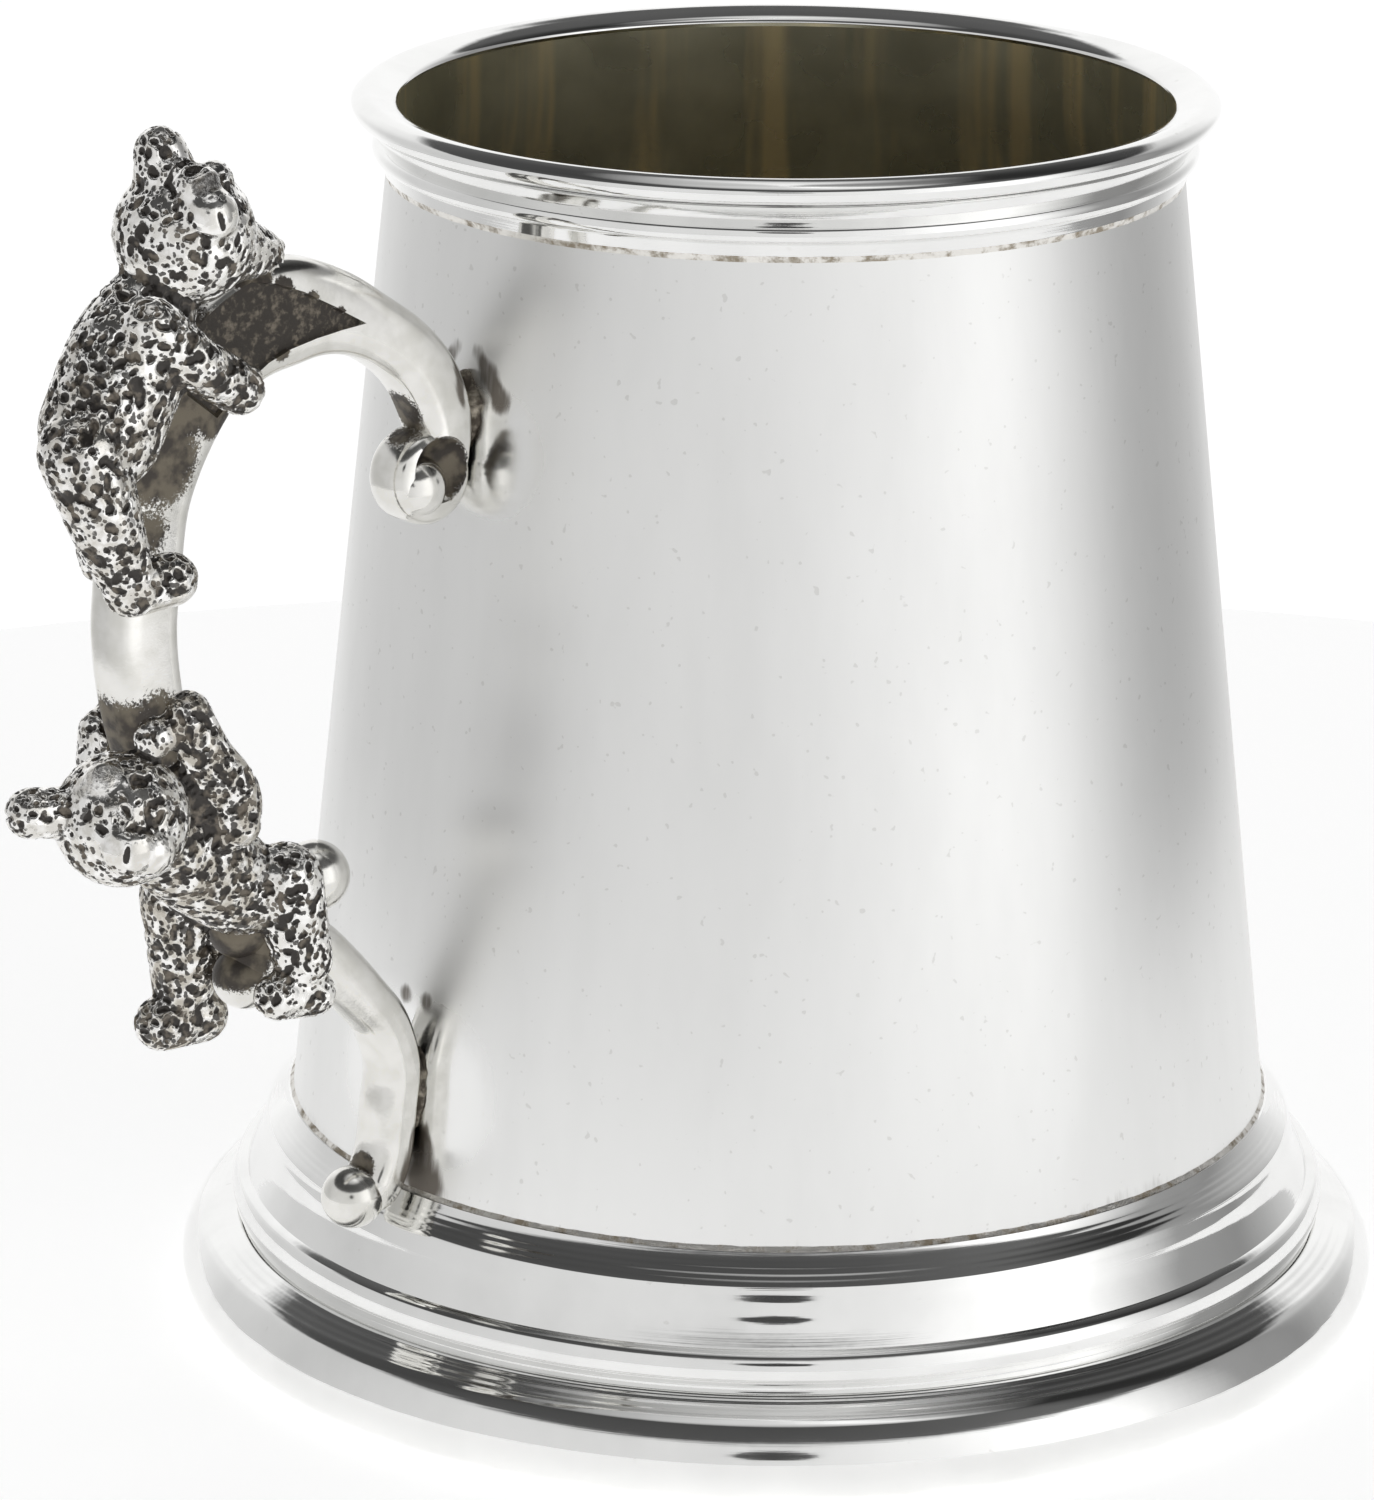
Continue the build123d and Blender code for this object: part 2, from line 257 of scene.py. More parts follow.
# %% Finish: satin pewter
satin = Finish("satin_pewter", Metallic=1.0, IOR=1.8, Anisotropic=0.75)
brush = satin.noise(1.0, 3.0, satin.stretched((2600, 2600, 90)), 0.65)
smear = satin.noise(1.0, 4.0, satin.stretched((90, 90, 26)), 0.6)
wave = satin.noise(1.0, 1.0, satin.stretched((46, 46, 20)))
speck = satin.noise(1500, 1.0).step(0.71, 0.76)
shade = satin.mix(smear.step(0.30, 0.75), (0.87, 0.87, 0.86), (0.82, 0.82, 0.81))
# Dark patches round the handle's two joints are painted shadow and painted reflection of the handle. Brush and smear
# noise adds dark streaks of its own, and the wall darkens along the seam at its seat.
painted_shade_and_streaks = 0.0
shine = 0.0
for side in (-1, 1):
    for x, y, z, radius, soft in ((-32.0, 1.2, 81.8, 0.2, 1.5), (-31.9, 2.5, 80.3, 0.6, 1.4),
                                  (-31.6, 3.9, 78.6, 0.5, 1.4), (-32.2, 0.6, 76.5, 1.2, 1.8),
                                  (-36.9, 1.2, 32.2, 0.3, 1.3), (-37.9, 1.8, 21.6, 0.5, 1.5),
                                  (-38.2, 2.4, 19.2, 0.9, 2.4)):
        painted_shade_and_streaks = satin.near((x, side * y, z), radius, soft) + painted_shade_and_streaks
    shine = satin.near((-32.2, side * 3.4, 74.6), 3.0, 3.4) + shine
    shine = satin.near((-37.4, side * 2.6, 26.0), 4.0, 4.0) + shine
seam = (satin.z / MM).step(SEAT + 2.6, SEAT + 0.4)
painted_shade_and_streaks = (painted_shade_and_streaks.smaller(1.0) * 0.95 + seam * 0.42 + (smear - 0.5) * 0.8 + (brush - 0.5) * 0.5).step(0.45, 1.05)
shade = satin.mix(speck * 0.25, shade, (0.40, 0.39, 0.36))
satin.feed("Base Color", satin.mix(painted_shade_and_streaks * 0.9, shade, (0.11, 0.09, 0.07)))
satin.feed("Roughness", 0.30 + brush * 0.05 + smear * 0.04 + painted_shade_and_streaks * 0.1 - shine * 0.20)
satin.bump(brush * 0.03 + wave, 0.12)
print("satin pewter:", len(satin.tree.nodes), "nodes")

# %% [markdown]
# ## Polished pewter for the mouldings and the handle
# The rim and the foot were polished on the lathe, so what little scratching they have runs round
# them. The shine is nearly a mirror, with a faint haze that comes and goes.

# %% Finish: polished pewter
polished = Finish("polished_pewter", Metallic=1.0, IOR=1.8)
rounds = polished.noise(1.0, 2.0, polished.stretched((60, 60, 5200)), 0.6)
haze = polished.noise(160, 4.0)
fleck = polished.noise(1100, 2.0).step(0.72, 0.78)
tone = polished.mix(haze.step(0.3, 0.75), (0.90, 0.90, 0.89), (0.84, 0.84, 0.83))
polished.feed("Base Color", polished.mix(fleck * 0.15, tone, (0.40, 0.38, 0.33)))
polished.feed("Roughness", 0.05 + haze.step(0.45, 0.8) * 0.07 + rounds * 0.03)
polished.bump(rounds * 0.12 + haze * 0.6, 0.03)
print("polished pewter:", len(polished.tree.nodes), "nodes")

# %% [markdown]
# ## Oxidised pewter inside and underneath
# Nobody polishes the inside of a tankard: it goes brown and dark. A few lighter gold streaks up and down are a painted
# reflection. The same finish serves the unseen underside.

# %% Finish: oxidised pewter
oxidised = Finish("oxidised_pewter", Metallic=0.85, IOR=1.6)
# Lighter gold streaks up and down: painted reflection.
painted_reflection_streaks = oxidised.noise(1.0, 3.0, oxidised.stretched((210, 210, 9)), 0.6)
cloud = oxidised.noise(120, 4.0)
dull = oxidised.mix(cloud.step(0.3, 0.7), (0.50, 0.48, 0.36), (0.66, 0.63, 0.47))
oxidised.feed("Base Color", oxidised.mix(painted_reflection_streaks.step(0.50, 0.68), dull, (1.0, 0.84, 0.52)))
oxidised.feed("Roughness", 0.20 + cloud * 0.16)
oxidised.bump(cloud + painted_reflection_streaks * 0.5, 0.05)
print("oxidised pewter:", len(oxidised.tree.nodes), "nodes")

# %% [markdown]
# ## Solder
# Solder lines are dull, lumpy and a little brown where the flux has stained them.

# %% Finish: solder
solder = Finish("solder", IOR=1.6)
lumps = solder.noise(1100, 4.0, rough=0.65)
stain = solder.noise(620, 4.0, rough=0.7).step(0.44, 0.66)
solder.feed("Base Color", solder.mix(stain, (0.84, 0.82, 0.78), (0.34, 0.29, 0.22)))
solder.feed("Roughness", 0.34 + stain * 0.3)
solder.feed("Metallic", 0.95 - stain * 0.35)
solder.bump(lumps, 0.12)
print("solder:", len(solder.tree.nodes), "nodes")

# %% [markdown]
# ## Turning on a lathe
# A single point is extruded from place to place along the section, and the line is then spun about
# the upright axis. A section that closes on itself gives a closed ring; one that starts and ends on
# the axis gives a closed disc. Doubles are merged before the normals are worked out.

# %% Helpers for turned pieces


def deselect():
    if bpy.context.object and bpy.context.object.mode != "OBJECT":
        bpy.ops.object.mode_set(mode="OBJECT")
    bpy.ops.object.select_all(action="DESELECT")


def settle(obj):
    """Puts the object's place into its mesh and leaves it in object mode."""
    if obj.mode != "OBJECT":
        bpy.ops.object.mode_set(mode="OBJECT")
    deselect()
    obj.select_set(True)
    bpy.context.view_layer.objects.active = obj
    bpy.ops.object.transform_apply(location=True, rotation=True, scale=True)


def curve_through(points, steps=8):
    """Smooth line through a few places of a section, as a row of closer places."""
    ends = [points[0], *points, points[-1]]
    line = []
    for i in range(len(points) - 1):
        a, b, c, d = (Vector(p) for p in ends[i:i + 4])
        for k in range(steps):
            t = k / steps
            line.append(tuple(0.5 * (2 * b + (c - a) * t + (2 * a - 5 * b + 4 * c - d) * t ** 2
                                     + (3 * b - a - 3 * c + d) * t ** 3)))
    return line + [tuple(points[-1])]


def section_line(name, points):
    """A line of vertices in the XZ half-plane: one vertex extruded from place to place."""
    deselect()
    bpy.ops.mesh.primitive_plane_add(size=MM, location=(points[0][0] * MM, 0, points[0][1] * MM))
    obj = bpy.context.object
    obj.name = name
    obj.data.name = name
    bpy.ops.object.mode_set(mode="EDIT")
    bpy.ops.mesh.merge(type="CENTER")
    for before, after in zip(points, points[1:]):
        move = ((after[0] - before[0]) * MM, 0, (after[1] - before[1]) * MM)
        bpy.ops.mesh.extrude_region_move(TRANSFORM_OT_translate={"value": move})
    return obj


def turn_section(name, points, steps=288, sharp=32):
    """Turned piece from a section line of (radius, height) places in mm."""
    clean = [points[0]]
    for point in points[1:]:
        if math.dist(point, clean[-1]) > 0.004:
            clean.append(point)
    obj = section_line(name, clean)
    bpy.ops.mesh.select_all(action="SELECT")
    bpy.ops.mesh.spin(steps=steps, angle=math.tau, center=(0, 0, 0), axis=(0, 0, 1))
    bpy.ops.mesh.select_all(action="SELECT")
    bpy.ops.mesh.remove_doubles(threshold=0.002 * MM)
    bpy.ops.mesh.normals_make_consistent(inside=False)
    settle(obj)
    bpy.ops.object.shade_smooth_by_angle(angle=math.radians(sharp))
    print(name, len(obj.data.vertices), "vertices")
    return obj


def hand_over(obj, node, slot, *finishes):
    """Gives a piece its finishes and its body, and hides the CAD node it stands for; the slot is not used."""
    for finish in finishes:
        obj.data.materials.append(finish.material)
    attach(obj, "root")
    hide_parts(node)


# %% [markdown]
# ## The drum
# The drum is one sheet of pewter rolled into a cone, with a short upright neck that the rim sleeves
# over. Its section goes up the outside and down the inside. The faces that look at the axis get the
# oxidised finish.

# %% Turn the drum


def give_inside(obj, index, below=1e9):
    """Faces that look towards the axis take another of the piece's finishes."""
    for face in obj.data.polygons:
        outward = Vector((face.center.x, face.center.y, 0)).normalized()
        if face.normal.dot(outward) < -0.3 and face.center.z < below * MM:
            face.material_index = index


def straight(start, end, count):
    return [tuple(Vector(start).lerp(Vector(end), i / count)) for i in range(count + 1)]


outside = straight((BASE_RADIUS, SEAT), (NECK_RADIUS, NECK), 40) + [(NECK_RADIUS, TOP)]
inside = [(NECK_RADIUS - WALL, TOP)] + straight((NECK_RADIUS - WALL, NECK), (BASE_RADIUS - WALL, SEAT), 40)
drum = turn_section("drum_shell", outside + inside + [outside[0]])
hand_over(drum, "drum", "satin_pewter", satin, oxidised)
give_inside(drum, 1)

disc_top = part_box("bottom_disc")[1].z / MM
disc_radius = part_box("bottom_disc")[1].y / MM
disc = turn_section("cup_floor", [(0, SEAT), (disc_radius, SEAT), (disc_radius - 0.13, disc_top),
                                  *straight((disc_radius - 1.5, disc_top - 0.12), (0, disc_top - 0.02), 12)])
hand_over(disc, "bottom_disc", "oxidised_pewter", oxidised)

# %% [markdown]
# ## The rim
# A rolled lip rides on top of a small bead. The section follows the roll over the top, in under its
# belly, round the bead, and back up inside the neck.

# %% Turn the rim
bead_z = NECK + 1.7
bead_out = NECK_RADIUS + 0.9
lip = NECK_RADIUS - WALL - 0.2
roll_z = TOP + 0.45
crown = curve_through([(lip, TOP + 0.3), (lip + 0.14, TOP + 0.55), (lip + 0.55, TOP + 0.82), (RIM_RADIUS - 2.2, TOP + 1.1),
                       (RIM_RADIUS - 1.1, rim_high.z), (RIM_RADIUS - 0.35, TOP + 0.95), (RIM_RADIUS, roll_z),
                       (RIM_RADIUS - 0.3, roll_z - 0.75), (RIM_RADIUS - 1.1, roll_z - 1.35),
                       (bead_out - 0.30, bead_z + 0.75)], 9)
bead = curve_through([(bead_out - 0.30, bead_z + 0.75), (bead_out + 0.08, bead_z + 0.45),
                      (bead_out + 0.2, bead_z), (bead_out + 0.02, bead_z - 0.5),
                      (bead_out - 0.5, bead_z - 0.85)], 6)
skirt = [(NECK_RADIUS + 0.25, NECK), (NECK_RADIUS, NECK), (NECK_RADIUS, TOP),
         (lip + 0.2, TOP), (lip, TOP + 0.3)]
rim = turn_section("rolled_rim", crown + bead + skirt, sharp=40)
hand_over(rim, "rim_mount", "polished_pewter", polished)

# %% [markdown]
# ## The foot
# The foot is two rings. The stepped mount has a cove under the drum, a thin shoulder, a flared band
# and a bead. The flange under it is a fat roll on a narrow rest ring, hollow underneath.

# %% Turn the foot
flare = BEAD_RADIUS - BASE_RADIUS
rise = SEAT - mount_low.z


def turned_lines(points, depth, pitch, ends):
    """Fine lines left by the turning tool: waves of a depth and pitch between two radii."""
    inner, outer = ends
    return [(radius, up + depth * math.sin(math.tau * (radius - inner) / pitch) * (inner < radius < outer))
            for radius, up in points]


def mount_place(flare_share, height_share):
    return (BASE_RADIUS + flare * flare_share, mount_low.z + rise * height_share)


cove = curve_through([mount_place(0.08, 1.0), mount_place(0.15, 0.935), mount_place(0.26, 0.86),
                      mount_place(0.40, 0.775), mount_place(0.43, 0.74)], 12)
cove = turned_lines(cove, 0.010, 0.34, (mount_place(0.15, 0)[0], mount_place(0.36, 0)[0]))
band = curve_through([mount_place(0.43, 0.74), mount_place(0.45, 0.70), mount_place(0.49, 0.64), mount_place(0.56, 0.5),
                      mount_place(0.755, 0.291)], 9)
foot_bead = curve_through([mount_place(0.895, 0.270), mount_place(0.935, 0.245), mount_place(0.98, 0.187),
                           mount_place(1.0, 0.1), mount_place(0.96, 0.0)], 8)
bore = BEAD_RADIUS - 2.45
inner_foot = [(bore, mount_low.z), (bore, mount_low.z + rise * 0.3), (BASE_RADIUS - 0.1, SEAT - 1.2),
              (BASE_RADIUS - 3.2, SEAT - 1.2), (BASE_RADIUS - 3.2, SEAT), mount_place(0.08, 1.0)]
mount = turn_section("stepped_mount", cove + band + foot_bead + inner_foot, sharp=34)
hand_over(mount, "foot_mount", "polished_pewter", polished, oxidised)
give_inside(mount, 1)

deck = mount_low.z - 0.5
ledge = BEAD_RADIUS - 0.5
tongue = bore - 0.1
rest = FLANGE_RADIUS - 2.1
belly = curve_through([(BEAD_RADIUS, deck), (BEAD_RADIUS + 1.4, deck - 0.62), (FLANGE_RADIUS - 1.2, deck - 1.5),
                       (FLANGE_RADIUS, deck * 0.48), (FLANGE_RADIUS - 0.6, deck * 0.17), (rest, 0)], 12)
belly = turned_lines(belly, 0.014, 0.62, (BEAD_RADIUS + 0.15, FLANGE_RADIUS - 1.4))
under = [(rest - 1.8, 0), (rest - 2.2, deck - 1.8), (tongue - 1.1, deck - 1.4),
         (tongue - 1.1, mount_low.z + 1.5), (tongue, mount_low.z + 1.5), (tongue, mount_low.z),
         (ledge, mount_low.z), (ledge, deck), (BEAD_RADIUS, deck)]
flange = turn_section("foot_roll", belly + under, sharp=34)
hand_over(flange, "foot_flange", "polished_pewter", polished, oxidised)
give_inside(flange, 1)

# %% [markdown]
# ## Lines of solder
# A line of solder is a thin ring whose skin wanders. It is turned like the rest, and its vertices
# are then pushed by a few hundredths of a millimetre of noise, so that it looks run and not cut.

# %% Turn and roughen the solder rings


def roughen(obj, amount, grain, seed):
    """Moves each vertex along its normal by a smooth noise; amount and grain are in mm."""
    offset = Vector((seed * 3.7, seed * 1.3, seed * 5.1))
    moves = [v.normal * amount * MM * noise.noise(v.co / (grain * MM) + offset) for v in obj.data.vertices]
    for vertex, move in zip(obj.data.vertices, moves):
        vertex.co += move


def solder_ring(name, node, corners, seed, amount=0.09):
    outline = []
    for a, b in zip(corners, corners[1:] + corners[:1]):
        outline += straight(a, b, 3)[:-1]
    obj = turn_section(name, outline + [outline[0]], steps=360, sharp=60)
    roughen(obj, amount, 0.9, seed)
    hand_over(obj, node, "solder", solder)


edge = mount_place(0.08, 1.0)[0]
solder_ring("solder_at_foot", "foot_solder",
            [(BASE_RADIUS - 0.1, SEAT + 0.03), (edge - 0.15, SEAT), (wall_radius(SEAT + 0.3), SEAT + 0.3)], 1)
solder_ring("solder_at_rim", "rim_solder",
            [(NECK_RADIUS + 0.02, NECK), (NECK_RADIUS + 0.25, NECK), (wall_radius(NECK - 0.5), NECK - 0.5)], 2, 0.05)
solder_ring("solder_under_floor", "bottom_solder",
            [(BASE_RADIUS - 3.2, SEAT), (BASE_RADIUS - 4.0, SEAT), (BASE_RADIUS - 3.2, SEAT - 0.9)], 3)
solder_ring("solder_in_flange", "flange_solder",
            [(bore, mount_low.z + 1.5), (tongue - 0.8, mount_low.z + 1.5), (bore, mount_low.z + 2.3)], 4)

# %% [markdown]
# ## The handle
# The handle is a bar with flat cheeks and rounded edges that follows two scrolls. A round tube is
# extruded ring by ring, straight up, and each ring is then laid square to the scroll's middle line
# and squeezed to the bar's thickness there.

# %% Lay a bar along a scroll
snug = 0.15
upper_scroll = [
    (1.64, 0.93, 1.4), (2.19, 0.972, 2.0), (2.55, 1.02, 2.4), (4.3, 1.083, 2.5), (6.8, 1.133, 2.5),
    (10.2, 1.176, 2.6), (13.7, 1.206, 3.2), (17.4, 1.218, 4.0), (21.4, 1.208, 4.2),
    (25.0, 1.166, 4.0), (27.7, 1.089, 3.8), (29.3, 0.99, 3.4), (29.4, 0.881, 3.1),
    (29.3, 0.792, 3.0), (28.2, 0.693, 2.9), (26.5, 0.604, 2.7), (23.9, 0.515, 2.5),
    (20.5, 0.434, 2.4), (16.4, 0.37, 2.3), (12.9, 0.345, 1.8),
]
lower_scroll = [
    (15.9, 0.27, 1.3), (14.6, 0.3, 2.0), (11.6, 0.275, 2.2), (8.8, 0.228, 2.2), (5.7, 0.17, 2.0),
    (3.4, 0.119, 1.9), (1.95, 0.05, 1.8), (1.95, -0.02, 1.8), (2.05, -0.083, 1.8),
    (2.85, -0.127, 1.8), (3.95, -0.145, 1.5),
]
AROUND = 48
CLOSER = 7


def superround(angle, power):
    """Place on a square-shouldered round: power 2 is a circle, more is nearer a square."""
    c, s = math.cos(angle), math.sin(angle)
    return (math.copysign(abs(c) ** (2 / power), c), math.copysign(abs(s) ** (2 / power), s))


def scroll_bar(name, stations, power):
    places = [(*beside(out, share), half) for out, share, half in stations]
    line = curve_through(places, CLOSER)
    deselect()
    bpy.ops.mesh.primitive_circle_add(vertices=AROUND, radius=1.0, fill_type="NGON")
    obj = bpy.context.object
    obj.name = name
    bpy.ops.object.mode_set(mode="EDIT")
    for _ in line[1:]:
        bpy.ops.mesh.extrude_region_move(TRANSFORM_OT_translate={"value": (0, 0, 1)})
    bpy.ops.object.mode_set(mode="OBJECT")
    for vertex in obj.data.vertices:
        i = round(vertex.co.z)
        x, _, z, half = line[i]
        before, after = line[max(i - 1, 0)], line[min(i + 1, len(line) - 1)]
        along = Vector((after[0] - before[0], 0, after[2] - before[2])).normalized()
        outward = Vector((-along.z, 0, along.x))
        across = min(2.3, 1.3 * half)
        a, b = superround(math.atan2(vertex.co.y, vertex.co.x), power)
        vertex.co = (Vector((x, 0, z)) + outward * (half * a) + Vector((0, across * b, 0))) * MM
    bpy.ops.object.mode_set(mode="EDIT")
    bpy.ops.mesh.select_all(action="SELECT")
    bpy.ops.mesh.normals_make_consistent(inside=False)
    settle(obj)
    return obj


def combine(obj, tool, operation):
    """Joins a tool shape to a piece, or cuts it away."""
    deselect()
    obj.select_set(True)
    bpy.context.view_layer.objects.active = obj
    bpy.ops.object.modifier_add(type="BOOLEAN")
    modifier = obj.modifiers[-1]
    modifier.operation = operation
    modifier.object = tool
    modifier.solver = "EXACT"
    bpy.ops.object.modifier_apply(modifier=modifier.name)
    bpy.data.objects.remove(tool)


def knob(centre, radius):
    deselect()
    bpy.ops.mesh.primitive_uv_sphere_add(segments=40, ring_count=24, radius=radius * MM,
                                         location=Vector(centre) * MM, rotation=(0.4, 0.6, 0.2))
    settle(bpy.context.object)
    return bpy.context.object


handle = scroll_bar("scroll_handle", upper_scroll, 3.2)
combine(handle, scroll_bar("lower", lower_scroll, 2.6), "UNION")
curl = beside(3.75, 0.937)
knuckle = beside(10.9, 0.371)
toe = beside(16.8, 0.245)
tail = beside(4.75, -0.142)
for centre, radius in ((knuckle, 2.7), (beside(15.6, 0.30), 2.7), (beside(17.6, 0.325), 2.5),
                       (beside(15.9, 0.27), 2.6), (toe, 2.4), (tail, 2.4)):
    combine(handle, knob(centre, radius), "UNION")
print("handle", len(handle.data.vertices), "vertices")

# %% [markdown]
# ## The eye of the upper scroll
# The bar's end curls into a thick coin. Its cheeks are hollowed, and a smooth boss sits low in each hollow, so a bright
# rim circles a bright boss with a dark crescent between them. The crescent's darkness is painted shade in the handle's
# finish.

# %% Shape the eye


def coin(centre, radius, half_width, bevel):
    """Thick round coin that lies across the handle, with rounded edges."""
    deselect()
    bpy.ops.mesh.primitive_cylinder_add(vertices=72, radius=radius * MM, depth=2 * half_width * MM,
                                        location=Vector(centre) * MM, rotation=(math.pi / 2, 0, 0))
    obj = bpy.context.object
    settle(obj)
    bpy.ops.object.modifier_add(type="BEVEL")
    obj.modifiers[-1].width = bevel * MM
    obj.modifiers[-1].segments = 4
    obj.modifiers[-1].angle_limit = math.radians(50)
    bpy.ops.object.modifier_apply(modifier=obj.modifiers[-1].name)
    return obj


combine(handle, coin(curl, 3.6, 2.2, 1.3), "UNION")
for cheek in (-1, 1):
    combine(handle, knob(curl + Vector((0.4, cheek * 3.6, 0.7)), 2.9), "DIFFERENCE")
    combine(handle, knob(curl + Vector((-0.9, cheek * 0.45, -0.7)), 2.45), "UNION")
print("eye of the scroll", len(handle.data.vertices), "vertices")

# %% [markdown]
# ## The sunk panels on the shoulder
# On each cheek of the shoulder a long three-cornered panel is sunk and left dark. A flat blank is
# drawn to the panel's outline, made thick, and cut out of both cheeks.

# %% Cut the panels
PANEL = [(-58.4, 88.4), (-56.0, 90.0), (-53.2, 90.5), (-50.8, 89.9), (-48.4, 88.9), (-45.6, 87.4), (-43.0, 85.9),
         (-45.2, 85.75), (-47.4, 85.5), (-49.6, 85.1), (-51.6, 84.4), (-53.6, 83.2), (-56.2, 81.3), (-58.8, 83.4)]
for cheek in (-1, 1):
    deselect()
    bpy.ops.mesh.primitive_circle_add(vertices=len(PANEL), radius=MM, fill_type="NGON")
    blank = bpy.context.object
    for vertex, (x, z) in zip(blank.data.vertices, PANEL):
        vertex.co = Vector((x, cheek * 1.75, z)) * MM
    bpy.ops.object.mode_set(mode="EDIT")
    bpy.ops.mesh.select_all(action="SELECT")
    bpy.ops.mesh.extrude_region_move(TRANSFORM_OT_translate={"value": (0, cheek * 2 * MM, 0)})
    bpy.ops.transform.resize(value=(1.12, 1.0, 1.25), center_override=(-0.0497, 0, 0.0858))
    bpy.ops.mesh.select_all(action="SELECT")
    bpy.ops.mesh.normals_make_consistent(inside=False)
    settle(blank)
    combine(handle, blank, "DIFFERENCE")
settle(handle)
sunk_faces = 0
for face in handle.data.polygons:
    on_floor = abs(abs(face.center.y) - 1.75 * MM) < 0.02 * MM and abs(face.normal.y) > 0.99
    if on_floor and abs(face.center.x / MM + 51.0) < 8.4 and face.center.z > 83 * MM:
        face.material_index = 1
        sunk_faces += 1
print("faces on the panel floors:", sunk_faces)
bpy.ops.object.shade_smooth_by_angle(angle=math.radians(28))
print("handle with panels", len(handle.data.vertices), "vertices")

# %% [markdown]
# ## Cast and antiqued pewter
# Castings are blackened all over and then buffed, so the dark stays wherever the buff can't reach.
# On the bears each vertex carries how deep it sits, as the attribute hollow; the finish turns that into dark, rough
# recesses between bright ridges. The dark of the pits stands for the blackening; the dark of the creases between the
# lumps and of the cut marks is painted shade.

# %% Finish: cast pewter of the bears
cast = Finish("cast_pewter", IOR=1.8)
# hollow holds the pits and the face's dark marks, with painted shade in the cuts and in the creases between the lumps.
depth = cast.attribute("hollow")
plain = cast.attribute("plain")
coarse = cast.attribute("brown")
grain = cast.noise(3200, 3.0, rough=0.6)
blotch = cast.noise(900, 3.0)
drift = cast.node("ShaderNodeTexNoise", Vector=cast.here, Scale=1900.0, Detail=2.0).outputs["Color"]
bent = cast.node("ShaderNodeVectorMath", {"operation": "MULTIPLY_ADD"}, Vector=drift,
                 i1=(0.00034, 0.00034, 0.00034), i2=cast.here).outputs[0]
cell = cast.node("ShaderNodeTexVoronoi", {"feature": "F1"}, Vector=bent, Scale=2150.0)
reach = cast.noise(1300, 1.0) * 0.66 + coarse * 0.14
fine = (reach - cast.wire(cell, "Distance")).step(-0.02, 0.10) * (1 - plain)
sunk = (depth + (grain - 0.5) * 0.3).step(0.24, 0.46).larger(fine * 0.9)
bright = cast.mix(blotch.step(0.35, 0.65), (0.97, 0.96, 0.94), (0.86, 0.85, 0.82))
bright = cast.mix(coarse * blotch.step(0.36, 0.60) * 0.75, bright, (0.40, 0.36, 0.29))
black = cast.mix(blotch.step(0.48, 0.64), (0.026, 0.021, 0.017), (0.16, 0.135, 0.105))
cast.feed("Base Color", cast.mix(sunk, bright, black))
cast.feed("Roughness", 0.10 + sunk * 0.24 + blotch * 0.06)
cast.feed("Metallic", 1.0 - sunk * 0.45)
cast.bump(1 - sunk * 0.8 + grain * 0.12, 0.13)
print("cast pewter:", len(cast.tree.nodes), "nodes")

# %% [markdown]
# ## The handle's finish
# The same metal, but smooth: bright along its edges and cheeks, and black in the sunk panels. The black in the eye of
# each scroll and wherever a bear holds on is painted shade, as are dark patches near the joints and along the panels'
# edges; noise that stands for tarnish is mixed in.

# %% Finish: bar of the handle
bar = Finish("handle_pewter", IOR=1.8)
peppering = bar.noise(4200, 4.0, rough=0.75)
dirt = bar.noise(620, 3.0)
# Painted shade on the bar: dark patches at set places by the bears, the eye and the joints, and along the panels'
# edges.
painted_shade = 0.0
for centre, radius, soft in (
    ((-59.8, 0, 84.0), 3.2, 3.2), ((-61.6, 0, 79.0), 2.2, 3.6), ((-62.6, 0, 73.5), 1.4, 2.6),
    ((-38.4, 0, 77.6), 1.0, 2.0), ((-53.0, 0, 42.8), 2.8, 2.6), ((-62.4, 0, 58.4), 2.2, 3.4),
    ((-58.0, 0, 50.0), 3.0, 3.0), ((-47.0, 0, 38.6), 0.6, 1.8), ((-41.6, 0, 19.6), 0.9, 1.2),
    ((-38.0, 0, 26.5), 0.6, 1.0), ((-57.2, 0, 85.6), 2.4, 2.6),
):
    painted_shade = bar.near(centre, radius, soft).larger(painted_shade)
flat = bar.stretched((1, 0, 1))
# A dark crescent in each hollow of the eye, round the boss: painted shade.
for cheek in (-1, 1):
    hollow = bar.near(curl + Vector((0.5, cheek * 2.4, 0.7)), 2.0, 0.9)
    painted_shade = (hollow * (1 - bar.near(curl + Vector((-0.9, cheek * 2.4, -0.7)), 1.9, 0.5))).larger(painted_shade)
for x, z, radius, soft in ((-52.6, 90.8, 0.8, 1.6), (-50.2, 89.6, 0.3, 1.2), (-47.8, 88.4, 0.1, 1.1),
                           (-45.2, 87.0, 0.1, 0.9), (-50.4, 84.9, 0.2, 0.9), (-53.2, 83.4, 0.3, 1.2),
                           (-56.6, 81.2, 0.8, 1.8), (-55.0, 39.8, 1.6, 2.0)):
    painted_shade = bar.near((x, 0, z), radius, soft, flat).larger(painted_shade)
